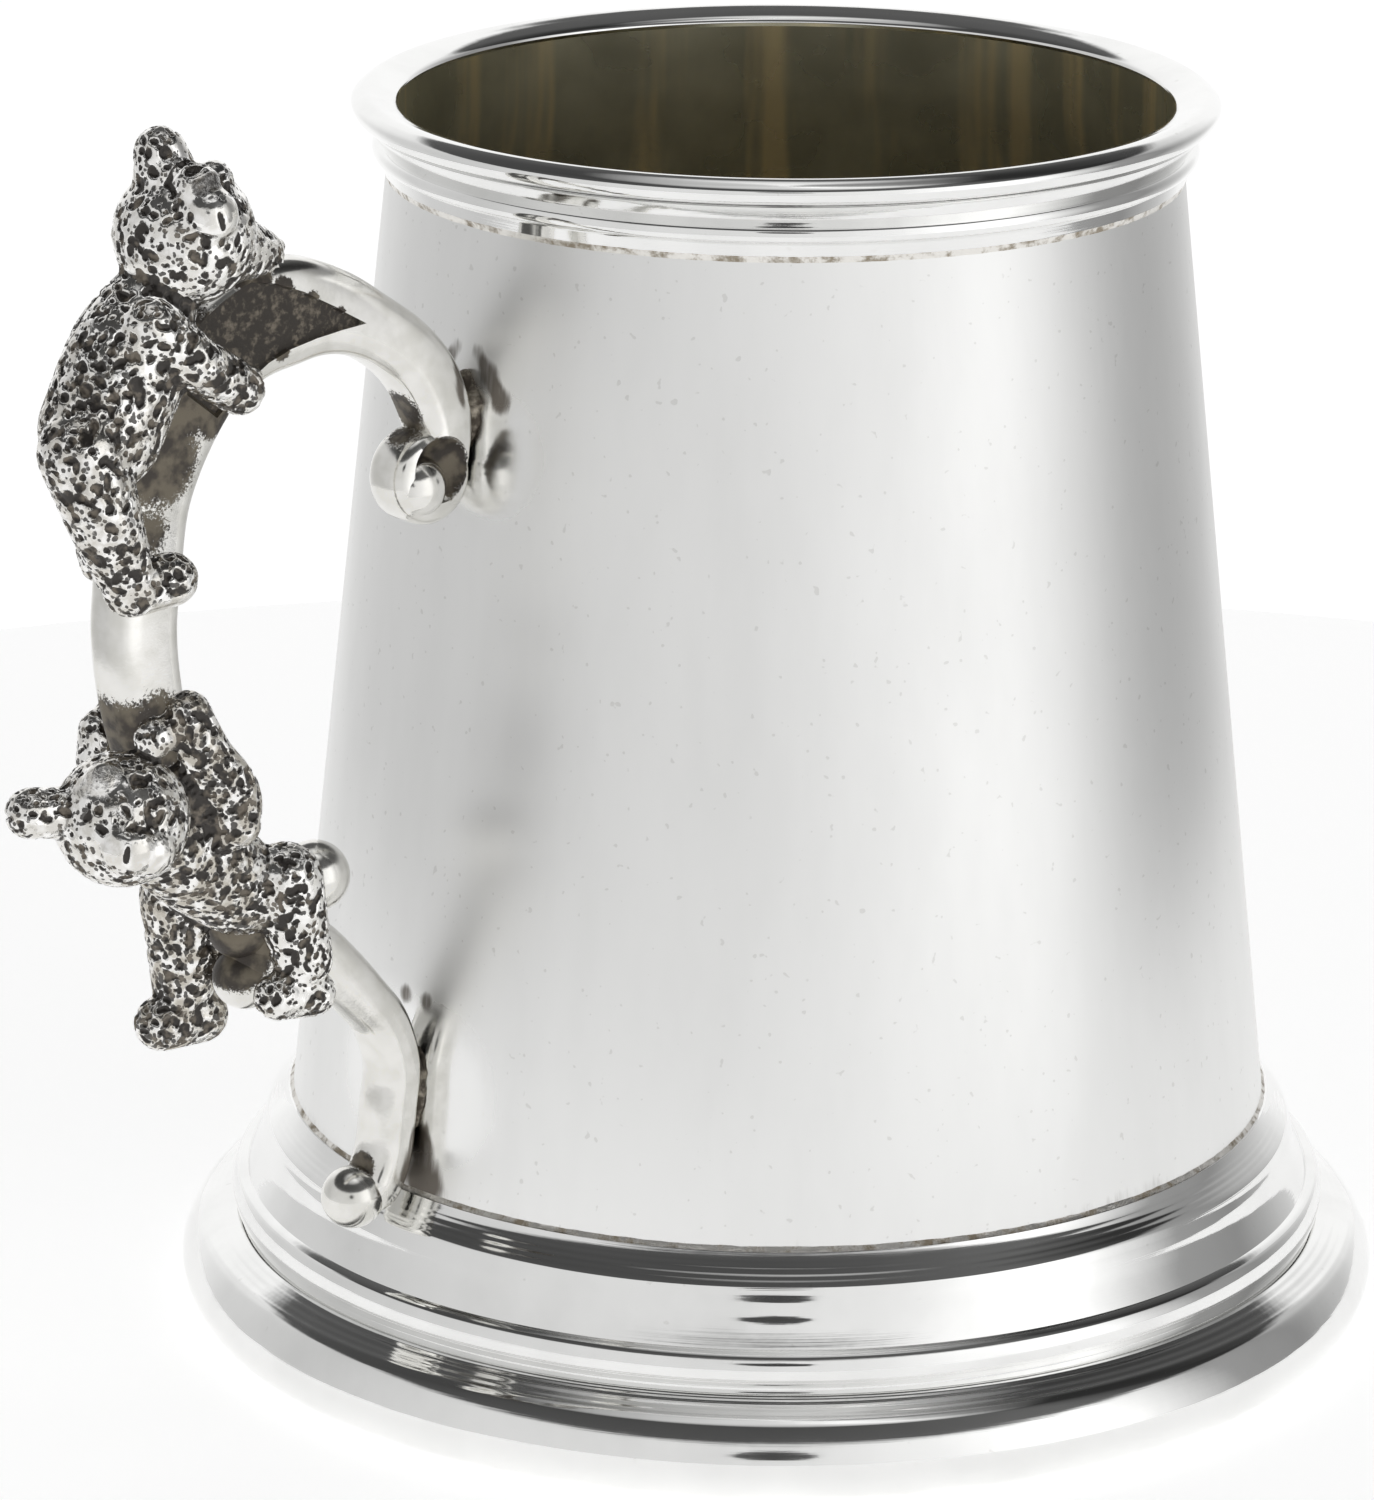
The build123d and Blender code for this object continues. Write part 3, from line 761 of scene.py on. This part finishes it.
# Painted shade mixed with noise that stands for real tarnish.
tarnish_and_painted_shade = (painted_shade * 1.3 + (peppering - 0.5) * 1.7 + (dirt - 0.5) * 0.6).step(0.52, 0.74)
clean = bar.mix(dirt.step(0.3, 0.7), (0.84, 0.83, 0.80), (0.74, 0.73, 0.69))
stained = bar.mix(dirt.step(0.40, 0.62), (0.045, 0.036, 0.028), (0.17, 0.145, 0.105))
bar.feed("Base Color", bar.mix(tarnish_and_painted_shade, clean, stained))
bar.feed("Roughness", 0.12 + tarnish_and_painted_shade * 0.36 + dirt * 0.05)
bar.feed("Metallic", 1.0 - tarnish_and_painted_shade * 0.45)
bar.bump(peppering * (0.06 + tarnish_and_painted_shade * 0.6) + dirt * 0.10, 0.07)
blackened = Finish("blackened_panel", IOR=1.6)
crust = blackened.noise(1500, 4.0, rough=0.7)
blackened.feed("Base Color", blackened.mix(crust.step(0.46, 0.72), (0.040, 0.034, 0.028), (0.22, 0.19, 0.15)))
blackened.feed("Roughness", 0.36 + crust * 0.25)
blackened.feed("Metallic", 0.45 + crust * 0.3)
blackened.bump(crust, 0.08)
hand_over(handle, "handle", "polished_pewter", bar, blackened)
print("handle pewter:", len(bar.tree.nodes), "nodes")

# %% [markdown]
# ## Solder where the handle meets the drum
# Each pad is a ball squashed against the wall, made lumpy, and trimmed by the drum's cone.

# %% Pads of solder
flux = Finish("solder_stained", IOR=1.6)
soot = flux.noise(900, 4.0, rough=0.65)
flux.feed("Base Color", flux.mix(soot.step(0.42, 0.70), (0.075, 0.062, 0.048), (0.42, 0.38, 0.31)))
flux.feed("Roughness", 0.32 + soot * 0.25)
flux.feed("Metallic", 0.65 + soot * 0.3)
flux.bump(soot, 0.10)


def solder_pad(name, node, share, length, width, depth, seed):
    deselect()
    bpy.ops.mesh.primitive_uv_sphere_add(segments=64, ring_count=40, radius=MM,
                                         location=beside(0, share) * MM)
    pad = bpy.context.object
    pad.name = name
    pad.scale = (depth * 0.7, width * 0.62, length * 0.66)
    settle(pad)
    roughen(pad, 0.28, 1.1, seed)
    deselect()
    low, high = joint_height(share) - 8, joint_height(share) + 8
    bpy.ops.mesh.primitive_cone_add(vertices=192, radius1=(wall_radius(low) - 0.05) * MM,
                                    radius2=(wall_radius(high) - 0.05) * MM, depth=(high - low) * MM,
                                    location=(0, 0, (low + high) / 2 * MM))
    cone = bpy.context.object
    settle(cone)
    combine(pad, cone, "DIFFERENCE")
    settle(pad)
    bpy.ops.object.shade_smooth_by_angle(angle=math.radians(45))
    hand_over(pad, node, "solder", flux)
    print(name, len(pad.data.vertices), "vertices")


solder_pad("solder_at_upper_joint", "upper_handle_solder", 1.02, 4.6, 3.2, 1.5, 5)
solder_pad("solder_at_lower_joint", "lower_handle_solder", 0.0, 5.6, 2.8, 1.3, 6)

# %% [markdown]
# ## How a bear is made
# A bear starts as balls of clay: one for the head, a string of them for each limb. Remeshing melts
# them into one skin, smoothing fills the joints, and a subdivision makes it fine enough to carve.
# Then the skin is carved: each vertex is pushed in by the pits of the coat, by the marks of the face and by nothing
# where the metal is smooth. How deep it sits is kept for the finish, with painted shade added in the cuts and in the
# creases between the lumps.

# %% Clay, skin and pits
BALL = "ball"


def lump(centre, radius, stretch=(1, 1, 1), turn=(0, 0, 0)):
    """One ball of clay, in edit mode, joined to the bear's mesh."""
    bpy.ops.mesh.primitive_ico_sphere_add(subdivisions=3, radius=radius * MM, location=Vector(centre) * MM,
                                          scale=stretch, rotation=turn)


def string(places, radii):
    """A limb: balls close together along a smooth line."""
    line = curve_through([(*p, r) for p, r in zip(places, radii)], 5)
    for x, y, z, radius in line:
        lump((x, y, z), radius)


def remeshed(obj, voxel, smoothing):
    obj.data.remesh_voxel_size = voxel * MM
    bpy.ops.object.voxel_remesh()
    bpy.ops.object.modifier_add(type="SMOOTH")
    obj.modifiers[-1].iterations = smoothing
    obj.modifiers[-1].factor = 0.5
    bpy.ops.object.modifier_apply(modifier=obj.modifiers[-1].name)
    bpy.ops.object.modifier_add(type="SUBSURF")
    obj.modifiers[-1].levels = obj.modifiers[-1].render_levels = 1
    bpy.ops.object.modifier_apply(modifier=obj.modifiers[-1].name)


def scatter(cells, salt):
    """Eight steady random numbers from 0 to 1 for each whole-numbered cell."""
    mixed = (cells[:, 0] * 73856093 ^ cells[:, 1] * 19349663 ^ cells[:, 2] * 83492791) + salt * 2654435
    numbers = []
    for k in range(8):
        mixed = (mixed * 1103515245 + 12345 + k * 7919) & 0x7FFFFFFF
        mixed = mixed ^ (mixed >> 13)
        numbers.append(((mixed >> 7) & 0xFFFF) / 65535.0)
    return np.stack(numbers, 1)


def pits(points, cell, salt, fill, small, large, soft=0.22):
    """Pits with rounded uneven outlines: 0 on the skin, 1 at the bottom of a pit."""
    spots = points / cell
    whole = np.floor(spots).astype(np.int64)
    deepest = np.zeros(len(points))
    for shift in product((-1, 0, 1), repeat=3):
        corner = whole + np.array(shift)
        chance = scatter(corner, salt)
        centre = corner + 0.1 + 0.8 * chance[:, :3]
        axis = chance[:, 3:6] - 0.5
        axis /= np.linalg.norm(axis, axis=1)[:, None] + 1e-9
        radius = np.where(chance[:, 7] < fill, small + (large - small) * chance[:, 6], 0.0)
        away = spots - centre
        along = (away * axis).sum(1)
        distance = np.sqrt(np.maximum((away ** 2).sum(1) - 0.72 * along ** 2, 0))
        deepest = np.maximum(deepest, np.clip((radius - distance) / soft, 0, 1))
    return deepest


def wander(points, grain, amount, salt):
    """Slow noise that bends the pits' outlines."""
    offset = np.array((salt * 3.1, salt * 7.7, salt * 1.9))
    return amount * np.array([noise.noise_vector(Vector(p / grain + offset)) for p in points])


def mesh_points(obj):
    flat = np.empty(len(obj.data.vertices) * 3)
    obj.data.vertices.foreach_get("co", flat)
    return flat.reshape(-1, 3) / MM


def mesh_normals(obj):
    flat = np.empty(len(obj.data.vertices) * 3)
    obj.data.vertex_normals.foreach_get("vector", flat)
    return flat.reshape(-1, 3)


def crevices(obj, points, normals, rounds):
    """How far each vertex lies under the mean level of the skin round it, in mm."""
    ends = np.empty(len(obj.data.edges) * 2, dtype=np.int64)
    obj.data.edges.foreach_get("vertices", ends)
    a, b = ends.reshape(-1, 2).T
    count = np.bincount(np.concatenate((a, b)), minlength=len(points))[:, None]
    level = points.copy()
    for _ in range(rounds):
        total = np.zeros_like(level)
        for axis in range(3):
            total[:, axis] = (np.bincount(a, level[b, axis], len(points))
                              + np.bincount(b, level[a, axis], len(points)))
        level = total / count
    return ((level - points) * normals).sum(1)


def ramp(value, low, high):
    t = np.clip((value - low) / (high - low), 0, 1)
    return t * t * (3 - 2 * t)


def from_line(points, start, end):
    """Distance of each point from a straight stroke between two places."""
    start, end = np.array(start), np.array(end)
    run = end - start
    t = np.clip(((points - start) @ run) / (run @ run), 0, 1)
    return np.linalg.norm(points - start - t[:, None] * run, axis=1)


def carve(obj, coat, marks, brown):
    """Carves the coat and the face into a bear and stores how deep each vertex sits, with painted shade in its cuts and
    creases.
    """
    points, normals = mesh_points(obj), mesh_normals(obj)
    smooth = np.zeros(len(points))
    push = np.zeros(len(points))
    dark = np.zeros(len(points))
    for kind, start, end, radius, amount in marks:
        touch = 1 - ramp(from_line(points, start, end), radius * 0.55, radius)
        if kind == "smooth":
            smooth = np.maximum(smooth, touch * amount)
        elif kind == "dark":
            dark = np.maximum(dark, touch * amount)
        else:
            push += touch * amount
            # A cut is a groove darkened with painted shade.
            if kind == "cut":
                dark = np.maximum(dark, touch)
    deep = coat(points)
    deep *= 1 - smooth
    # Darkening in the creases between the lumps: painted shade.
    painted_crease_shade = ramp(crevices(obj, points, normals, 40), 0.05, 0.22)
    painted_crease_shade = np.maximum(painted_crease_shade, ramp(crevices(obj, points, normals, 160), 0.14, 0.50))
    sunk = np.clip(deep + dark + painted_crease_shade * (1 - smooth), 0, 1)
    moved = points - normals * (deep * 0.30 + push)[:, None]
    obj.data.vertices.foreach_set("co", (moved * MM).ravel())
    for name, values in (("hollow", sunk), ("plain", smooth), ("brown", brown(points))):
        layer = obj.data.attributes.new(name, "FLOAT", "POINT")
        layer.data.foreach_set("value", values)
    obj.data.update()
    bpy.ops.object.shade_smooth()
    print(obj.name, len(points), "vertices, mean depth", round(float(deep.mean()), 2))


def begin_bear(name, centre, radius):
    deselect()
    bpy.ops.mesh.primitive_ico_sphere_add(subdivisions=3, radius=radius * MM, location=Vector(centre) * MM)
    obj = bpy.context.object
    obj.name = name
    obj.data.name = name
    settle(obj)
    bpy.ops.object.mode_set(mode="EDIT")
    return obj


def around(anchor):
    """Gives a function for places on a bear, measured from its anchor on the handle."""
    def at(out, up, side):
        return Vector((anchor.x - out, -side, anchor.z + up))
    return at


# %% [markdown]
# ## The climbing bear
# The upper bear leans over the shoulder of the scroll. Its head is turned to the side, one arm and
# one leg hold each cheek of the bar, and its coat is so thick that only worm-like ridges stay
# bright on the back.

# %% Model the climbing bear
at = around(beside(25.0, 1.166))
climber = begin_bear("climbing_bear_cast", at(2.0, 9.9, 1.0), 5.2)
lump(at(2.7, 12.1, 4.9), 2.1)
lump(at(3.0, 14.0, 3.9), 1.7)
lump(at(0.7, 13.9, 2.8), 1.5)
string([at(3.1, 13.6, 0.6), at(3.5, 15.9, 0.4)], [2.5, 1.95])
string([at(-0.2, 8.8, 0.4), at(-5.3, 7.0, -0.3)], [3.4, 2.15])
lump(at(-7.4, 7.3, -0.5), 0.7)
lump(at(-6.6, 7.2, -0.4), 1.1)
string([at(4.9, 4.6, 0.5), at(6.7, 1.6, 0.5), at(9.6, -3.2, 0.9)], [3.5, 4.5, 4.5])
string([at(6.9, 4.3, 3.5), at(3.4, 1.3, 4.3), at(-0.6, -1.3, 3.7)], [2.2, 2.05, 1.95])
string([at(3.6, 4.2, -3.0), at(1.4, 1.3, -4.0), at(-1.4, -1.3, -3.6)], [2.2, 2.0, 1.9])
string([at(12.2, -4.2, 2.3), at(11.2, -9.0, 3.4), at(9.6, -13.2, 3.4)], [3.3, 2.75, 2.15])
string([at(9.0, -14.4, 3.3), at(5.8, -14.2, 3.8)], [2.15, 2.0])
string([at(9.0, -4.2, -2.3), at(6.9, -9.0, -3.2), at(6.6, -13.2, -3.4)], [3.1, 2.3, 1.9])
string([at(6.4, -14.0, -3.3), at(3.6, -13.2, -3.9)], [2.0, 1.8])
settle(climber)
remeshed(climber, 0.30, 4)


def climbing_coat(points):
    bent = points + wander(points, 0.6, 0.13, 1)
    up = points[:, 2] - at(0, 0, 0).z
    back = 1 - ramp(up, 3.5, 6.5)
    legs = 1 - ramp(up, -8.0, -4.0)
    fill = 0.55 + 0.40 * back - 0.20 * legs
    return np.maximum(pits(bent, 0.90, 11, fill, 0.28, 0.58, 0.16),
                      pits(bent, 0.62, 13, 0.22, 0.25, 0.50))


carve(climber, climbing_coat, [
    ("smooth", at(3.3, 12.2, 6.6), at(2.3, 12.0, 6.6), 2.0, 1.0),
    ("smooth", at(4.3, 13.9, 5.4), at(1.5, 14.6, 5.2), 1.3, 1.0),
    ("dark", at(3.8, 14.3, 5.4), at(1.9, 14.7, 5.3), 1.0, 0.40),
    ("cut", at(3.3, 12.6, 7.0), at(2.9, 11.3, 7.0), 0.30, 0.16),
    ("cut", at(3.9, 15.4, 4.3), at(3.5, 15.5, 4.3), 0.7, 0.35),
    ("push", at(5.6, 14.2, 2.4), at(4.2, 15.2, 2.6), 0.55, -0.22),
    ("push", at(4.2, 15.2, 2.6), at(2.4, 15.4, 2.8), 0.55, -0.22),
    ("smooth", at(7.9, -16.4, 5.0), at(5.6, -16.0, 5.4), 1.6, 1.0),
    ("smooth", at(4.6, -15.6, -5.2), at(3.0, -15.0, -5.4), 1.5, 1.0),
    ("smooth", at(-1.8, -2.2, 5.2), at(-1.4, -3.2, 4.6), 1.1, 0.8),
], lambda points: 0.25 + 0.3 * (1 - ramp(points[:, 2], 84.0, 92.0)))
hand_over(climber, "climbing_bear", "oxidised_pewter", cast)
climber.visible_glossy = False

# %% [markdown]
# ## The hanging bear
# The lower bear hangs under the grip. Its arms reach up round the bar, its head looks out to the
# side, and its legs sit astride the place where the two scrolls meet.

# %% Model the hanging bear
at = around(beside(26.5, 0.604))
hanger = begin_bear("hanging_bear_cast", at(4.6, -3.1, 1.9), 5.0)
lump(at(6.4, -3.9, 5.2), 2.3)
lump(at(5.0, -4.4, 5.6), 2.0)
lump(at(6.6, 0.2, 2.9), 1.7)
string([at(8.4, -2.2, 0.4), at(11.0, -1.9, -0.3)], [1.9, 1.9])
lump(at(2.0, 2.7, 2.6), 1.6)
string([at(2.4, -0.4, -3.2), at(2.1, 1.6, -3.5)], [2.0, 1.9])
string([at(2.0, -4.6, 1.3), at(-2.6, -7.7, 0.7), at(-6.6, -10.9, 0.9)], [3.4, 4.1, 3.7])
string([at(-0.6, -2.2, 1.6), at(-3.0, -4.6, 1.6)], [2.6, 3.0])
string([at(-0.3, 4.2, 3.5), at(-1.6, 0.9, 3.8), at(-3.7, -2.3, 3.9), at(-3.9, -4.7, 4.2)], [1.75, 2.0, 2.2, 1.9])
string([at(0.6, 2.6, -3.4), at(-1.6, -0.6, -3.4), at(-3.8, -4.2, -3.2)], [1.9, 2.0, 2.2])
string([at(-4.2, -12.1, -3.0), at(-4.8, -19.3, -3.6)], [3.1, 2.4])
string([at(-6.2, -21.9, -3.6), at(-2.8, -21.9, -3.7)], [2.2, 2.1])
lump(at(-6.6, -15.6, -2.3), 1.8)
string([at(-9.0, -10.3, 3.4), at(-10.1, -16.4, 3.9)], [2.9, 2.3])
string([at(-7.7, -18.9, 3.9), at(-10.9, -19.3, 4.0)], [1.8, 1.8])
settle(hanger)
remeshed(hanger, 0.29, 4)


def hanging_coat(points):
    bent = points + wander(points, 0.6, 0.13, 2)
    out = at(0, 0, 0).x - points[:, 0]
    body = 1 - ramp(out, -1.0, 3.0)
    return np.maximum(pits(bent, 0.78, 21, 0.60 + 0.25 * body, 0.26, 0.56, 0.16),
                      pits(bent, 0.56, 22, 0.25, 0.25, 0.50))


def browned(points):
    """Browner under the head, on the body and on the far leg; bright on the head and near leg."""
    place = at(0, 0, 0)
    out, up, side = place.x - points[:, 0], points[:, 2] - place.z, -points[:, 1]
    near_leg = ramp(side, 3.0, 5.0) * (1 - ramp(out, -7.0, -5.0))
    head = ramp(out, 1.0, 3.5) * ramp(up, -9.0, -6.0)
    return np.clip(0.95 - 0.8 * near_leg - 0.55 * head, 0, 1)


carve(hanger, hanging_coat, [
    ("smooth", at(8.4, -3.6, 6.0), at(5.6, -4.6, 7.2), 1.75, 1.0),
    ("smooth", at(8.2, 0.6, 2.6), at(7.0, 1.0, 4.0), 1.7, 1.0),
    ("dark", at(8.2, 0.6, 2.8), at(7.0, 1.0, 3.9), 1.3, 0.30),
    ("cut", at(7.9, -3.3, 7.1), at(8.0, -4.4, 6.9), 0.32, 0.14),
    ("cut", at(5.4, 0.9, 5.0), at(5.1, 0.8, 5.2), 0.75, 0.3),
    ("cut", at(9.0, -2.0, 4.5), at(7.8, -1.9, 6.3), 0.36, 0.22),
    ("cut", at(7.8, -1.9, 6.3), at(5.4, -2.6, 7.2), 0.36, 0.22),
    ("smooth", at(11.6, -2.4, 1.2), at(10.4, -3.2, 1.2), 1.0, 0.8),
    ("smooth", at(-3.6, -5.6, 6.0), at(-4.2, -5.8, 5.8), 0.8, 0.9),
], browned)
hand_over(hanger, "hanging_bear", "oxidised_pewter", cast)
hanger.visible_glossy = False

# %% [markdown]
# ## Floor, light and camera
# Shiny metal shows its surroundings more than its own colour. The room is a soft white studio: a
# pale floor, walls that are bright to head height with one greyer side, and a dark ceiling, which
# draws the dark lines in the mouldings. The room is a sky of light, so the floor is a plain disc.

# %% Lay the floor
deselect()
bpy.ops.mesh.primitive_circle_add(vertices=128, radius=0.20, fill_type="NGON")
floor = bpy.context.object
floor.name = "studio_floor"
floor_finish = Finish("floor_white", Base_Color=(0.9, 0.9, 0.9, 1), Roughness=0.9,
                      Emission_Color=(1, 1, 1, 1), Emission_Strength=0.62)
floor.data.materials.append(floor_finish.material)

# %% Light the room
TOWARDS_CAMERA = Vector((-0.3503, -0.3890, 0)).normalized()
CAMERA_RIGHT = Vector((-TOWARDS_CAMERA.y, TOWARDS_CAMERA.x, 0))
room = bpy.data.worlds.new("soft_studio")
room.use_nodes = True
bpy.context.scene.world = room
sky = room.node_tree
sky.nodes.clear()
sky_out = sky.nodes.new("ShaderNodeOutputWorld")
glow = sky.nodes.new("ShaderNodeBackground")
glow.inputs["Color"].default_value = (1, 1, 1, 1)
sky.links.new(glow.outputs[0], sky_out.inputs["Surface"])
look = sky.nodes.new("ShaderNodeTexCoord")


def along_axis(axis):
    dot = sky.nodes.new("ShaderNodeVectorMath")
    dot.operation = "DOT_PRODUCT"
    sky.links.new(look.outputs["Generated"], dot.inputs[0])
    dot.inputs[1].default_value = axis
    return Wire(sky, dot.outputs["Value"])


def graded(value, stops):
    """Brightness read off a ramp with the given (place, brightness) stops."""
    made = sky.nodes.new("ShaderNodeValToRGB")
    made.color_ramp.interpolation = "LINEAR"
    while len(made.color_ramp.elements) < len(stops):
        made.color_ramp.elements.new(0.5)
    for element, (place, brightness) in zip(made.color_ramp.elements, stops):
        element.position = place
        element.color = (brightness, brightness, brightness, 1)
    sky.links.new(value.socket, made.inputs[0])
    return Wire(sky, made.outputs[0])


ahead = along_axis(TOWARDS_CAMERA)
sideways = along_axis(CAMERA_RIGHT)
height = along_axis(Vector((0, 0, 1)))
bearing = sideways.join("ARCTAN2", sideways, ahead) / math.tau + 0.5
WALLS = [(-180, 1.04), (-152, 1.02), (-126, 0.70), (-100, 0.62), (-60, 0.75), (0, 0.81), (30, 0.98),
         (50, 1.26), (66, 1.32), (82, 0.82), (96, 0.34), (116, 0.28), (138, 0.62), (156, 1.02), (180, 1.04)]
walls = graded(bearing, [((angle + 180) / 360, light / 1.4) for angle, light in WALLS]) * 1.4
ceiling = graded(height * 0.5 + 0.5, [(0.0, 1.0), (0.765, 1.0), (0.79, 0.11), (0.945, 0.09), (0.972, 0.60), (1.0, 0.95)])
lens = along_axis((TOWARDS_CAMERA * 0.945 + Vector((0, 0, 0.327))).normalized())
lens = lens.join("GREATER_THAN", lens, math.cos(math.radians(7.5)))
sky.links.new((walls * ceiling * (1 - lens * 0.92)).socket, glow.inputs["Strength"])
print("room walls:", len(WALLS), "stops")

# %% [markdown]
# ## Camera
# The camera stands a little above the rim and looks down on the tankard, with the handle to the
# left. The long lens keeps the foot and the rim nearly the same width.

# %% Place the camera
PITCH = math.radians(17.32)
ROLL = math.radians(0.5)
right = CAMERA_RIGHT
forward = -TOWARDS_CAMERA * math.cos(PITCH) - Vector((0, 0, 1)) * math.sin(PITCH)
upward = right.cross(forward)
camera_data = bpy.data.cameras.new("studio_camera")
camera = bpy.data.objects.new("studio_camera", camera_data)
bpy.context.scene.collection.objects.link(camera)
rolled_right = right * math.cos(ROLL) + upward * math.sin(ROLL)
rolled_up = upward * math.cos(ROLL) - right * math.sin(ROLL)
axes = Matrix((rolled_right, rolled_up, -forward)).transposed().to_4x4()
camera.matrix_world = Matrix.Translation((-0.3503, -0.3890, 0.2076)) @ axes
camera_data.lens = 168
camera_data.sensor_width = 36
camera_data.shift_x = -0.0624
camera_data.clip_start = 0.01
bpy.context.scene.camera = camera
bpy.context.scene.view_settings.view_transform = "Standard"
print("camera at", tuple(round(v, 3) for v in camera.location))
